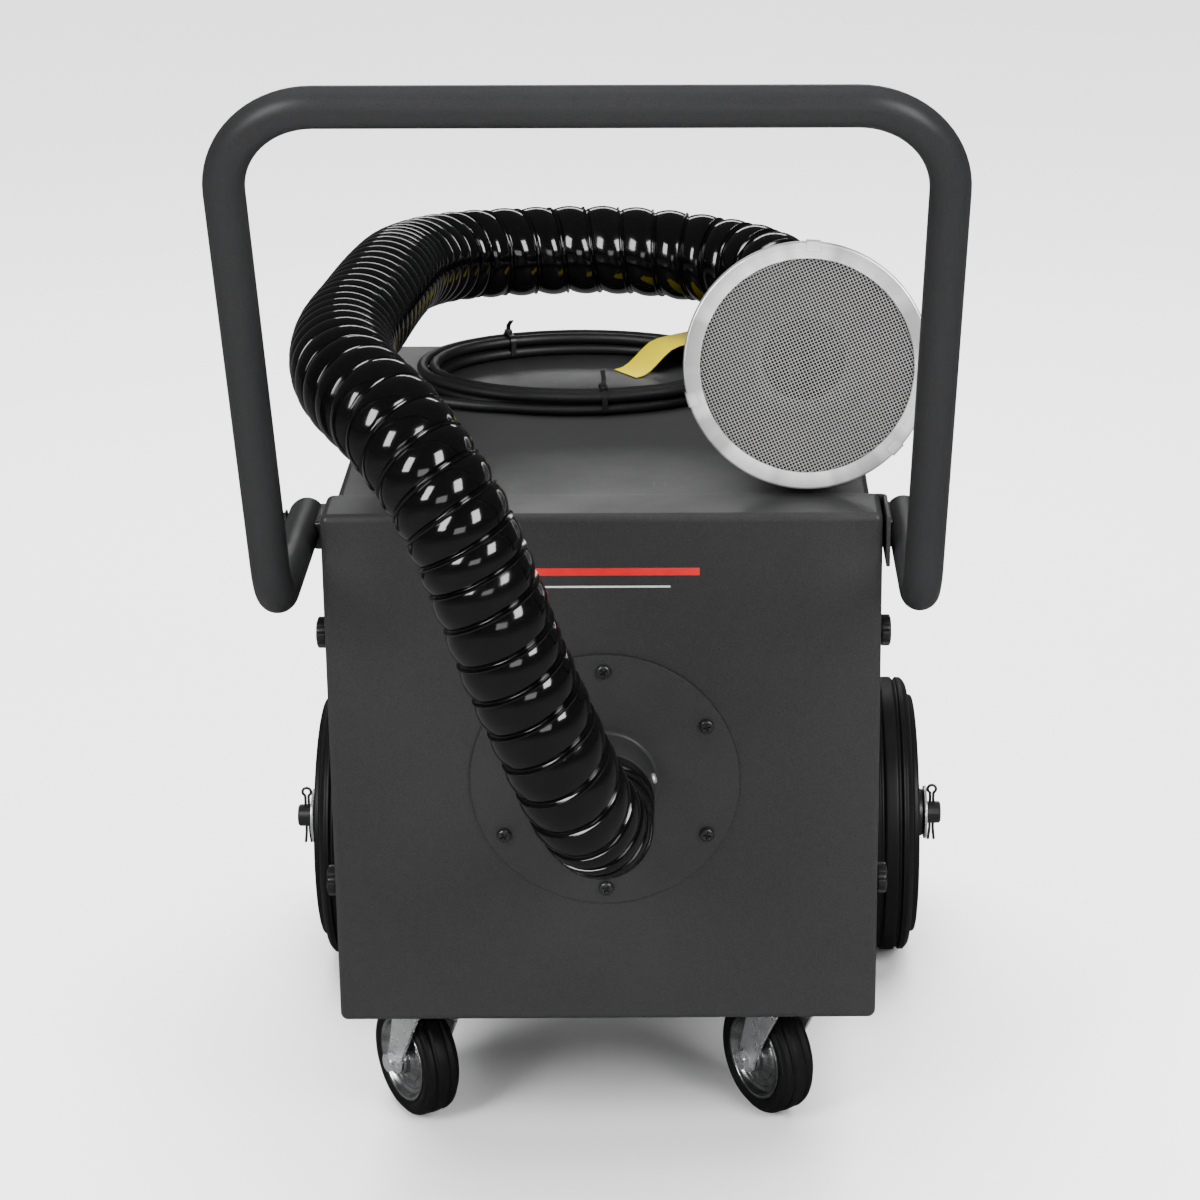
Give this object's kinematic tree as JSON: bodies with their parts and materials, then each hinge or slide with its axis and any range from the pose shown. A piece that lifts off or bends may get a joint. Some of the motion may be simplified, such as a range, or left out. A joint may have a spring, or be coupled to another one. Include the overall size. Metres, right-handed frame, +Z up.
{
  "type": "mobile welding fume extractor",
  "caption": "Wheeled filter cabinet with a fan, a self-supporting ribbed hose arm, a round mesh nozzle, a push handle, rear wheels and swivel casters.",
  "frame": {"origin": "on the floor, under the middle of the machine's box without its mains cord", "axes": "+Z up, +X to the machine's right as seen from the front, +Y from the front cover to the back"},
  "size_m": [0.586, 0.7884, 0.9256],
  "materials": {
    "charcoal_powder_coat": "satin charcoal powder coat",
    "black_tube_coat": "satin black powder coat on tube",
    "glossy_black_hose": "glossy black flexible hose",
    "black_tyre": "black tyre rubber",
    "black_cord": "matte black cord sheath",
    "black_plastic": "black moulded plastic",
    "red_rocker": "red rocker",
    "zinc_plate": "bright zinc plate",
    "brushed_steel": "brushed bright steel",
    "blackened_steel": "blackened steel",
    "filter_card": "board frame",
    "filter_paper": "pleated filter paper"
  },
  "bodies": {
    "cabinet": {"casing_wrap": "charcoal_powder_coat", "base_pan": "charcoal_powder_coat", "rear_panel": "charcoal_powder_coat", "cover_catch": "charcoal_powder_coat", "fan_plate": "charcoal_powder_coat", "handle_tube": "black_tube_coat", "exhaust_grille": "black_plastic", "switch_body": "black_plastic", "cable_gland": "black_plastic", "plug": "black_plastic", "handle_saddle_left": "black_plastic", "handle_saddle_right": "black_plastic", "cord_tail": "black_cord", "cord_coil": "black_cord", "rear_axle": "zinc_plate", "motor": "blackened_steel", "filter_frame": "filter_card", "filter_media": "filter_paper", "handle_bolt_left_front": "blackened_steel", "handle_bolt_left_rear": "blackened_steel", "axle_washer_left": "zinc_plate", "split_pin_left": "zinc_plate", "caster_plate_left": "zinc_plate", "handle_bolt_right_front": "blackened_steel", "handle_bolt_right_rear": "blackened_steel", "axle_washer_right": "zinc_plate", "split_pin_right": "zinc_plate", "caster_plate_right": "zinc_plate"},
    "front_cover": {"front_cover": "charcoal_powder_coat", "inlet_flange": "charcoal_powder_coat", "flange_screw_1": "blackened_steel", "flange_screw_2": "blackened_steel", "flange_screw_3": "blackened_steel", "flange_screw_4": "blackened_steel", "flange_screw_5": "blackened_steel", "flange_screw_6": "blackened_steel", "hose": "glossy_black_hose"},
    "nozzle_cuff": {"nozzle_cuff": "black_plastic"},
    "nozzle_head": {"nozzle_cone": "blackened_steel", "guard_ring": "brushed_steel", "guard_mesh": "brushed_steel"},
    "fan_rotor": {"impeller": "black_plastic", "motor_shaft": "zinc_plate"},
    "switch_rocker": {"switch_rocker": "red_rocker"},
    "cover_knob_left_lower": {"cover_knob_left_lower": "black_plastic"},
    "cover_knob_left_upper": {"cover_knob_left_upper": "black_plastic"},
    "cover_knob_right_lower": {"cover_knob_right_lower": "black_plastic"},
    "cover_knob_right_upper": {"cover_knob_right_upper": "black_plastic"},
    "caster_left_fork": {"caster_fork_left": "zinc_plate", "caster_bolt_left": "zinc_plate"},
    "caster_left_wheel": {"caster_tyre_left": "black_tyre", "caster_rim_left": "zinc_plate"},
    "rear_wheel_left": {"rear_tyre_left": "black_tyre", "rear_hub_left": "black_plastic"},
    "caster_right_fork": {"caster_fork_right": "zinc_plate", "caster_bolt_right": "zinc_plate"},
    "caster_right_wheel": {"caster_tyre_right": "black_tyre", "caster_rim_right": "zinc_plate"},
    "rear_wheel_right": {"rear_tyre_right": "black_tyre", "rear_hub_right": "black_plastic"}
  },
  "joints": [
    {"name": "front_cover_slide", "type": "slide", "parent": "cabinet", "child": "front_cover", "axis": [0, -1, 0], "range_m": [0, 0.045]},
    {"name": "cover_knob_left_lower_turn", "type": "hinge", "parent": "cabinet", "child": "cover_knob_left_lower", "pos_m": [-0.2103, -0.127, 0.247], "axis": [-1, 0, 0], "range_deg": [0, 720]},
    {"name": "cover_knob_left_upper_turn", "type": "hinge", "parent": "cabinet", "child": "cover_knob_left_upper", "pos_m": [-0.2103, -0.127, 0.455], "axis": [-1, 0, 0], "range_deg": [0, 720]},
    {"name": "cover_knob_right_lower_turn", "type": "hinge", "parent": "cabinet", "child": "cover_knob_right_lower", "pos_m": [0.2103, -0.127, 0.247], "axis": [1, 0, 0], "range_deg": [0, 720]},
    {"name": "cover_knob_right_upper_turn", "type": "hinge", "parent": "cabinet", "child": "cover_knob_right_upper", "pos_m": [0.2103, -0.127, 0.455], "axis": [1, 0, 0], "range_deg": [0, 720]},
    {"name": "caster_left_swivel", "type": "hinge", "parent": "cabinet", "child": "caster_left_fork", "pos_m": [-0.145, -0.072, 0], "axis": [0, 0, 1], "continuous": true},
    {"name": "caster_left_spin", "type": "hinge", "parent": "caster_left_fork", "child": "caster_left_wheel", "pos_m": [-0.16188, -0.046, 0.04938], "axis": [-0.8387, -0.5446, 0], "continuous": true},
    {"name": "caster_right_swivel", "type": "hinge", "parent": "cabinet", "child": "caster_right_fork", "pos_m": [0.145, -0.072, 0], "axis": [0, 0, 1], "continuous": true},
    {"name": "caster_right_spin", "type": "hinge", "parent": "caster_right_fork", "child": "caster_right_wheel", "pos_m": [0.12812, -0.046, 0.04938], "axis": [-0.8387, -0.5446, 0], "continuous": true},
    {"name": "rear_wheel_left_spin", "type": "hinge", "parent": "cabinet", "child": "rear_wheel_left", "pos_m": [-0.242, 0.263, 0.12393], "axis": [1, 0, 0], "continuous": true},
    {"name": "rear_wheel_right_spin", "type": "hinge", "parent": "cabinet", "child": "rear_wheel_right", "pos_m": [0.242, 0.263, 0.12393], "axis": [1, 0, 0], "continuous": true},
    {"name": "nozzle_tilt", "type": "hinge", "parent": "front_cover", "child": "nozzle_cuff", "pos_m": [0.1546, -0.00633, 0.63723], "axis": [1, 0, 0], "range_deg": [-12, 2]},
    {"name": "nozzle_turn", "type": "hinge", "parent": "nozzle_cuff", "child": "nozzle_head", "pos_m": [0.1546, -0.097, 0.6565], "axis": [0, -0.9781, 0.2079], "continuous": true},
    {"name": "fan_spin", "type": "hinge", "parent": "cabinet", "child": "fan_rotor", "pos_m": [0, 0.0925, 0.345], "axis": [0, 1, 0], "continuous": true},
    {"name": "switch_rock", "type": "hinge", "parent": "cabinet", "child": "switch_rocker", "pos_m": [0.12, 0.3042, 0.5], "axis": [1, 0, 0], "range_deg": [0, 16]}
  ]
}
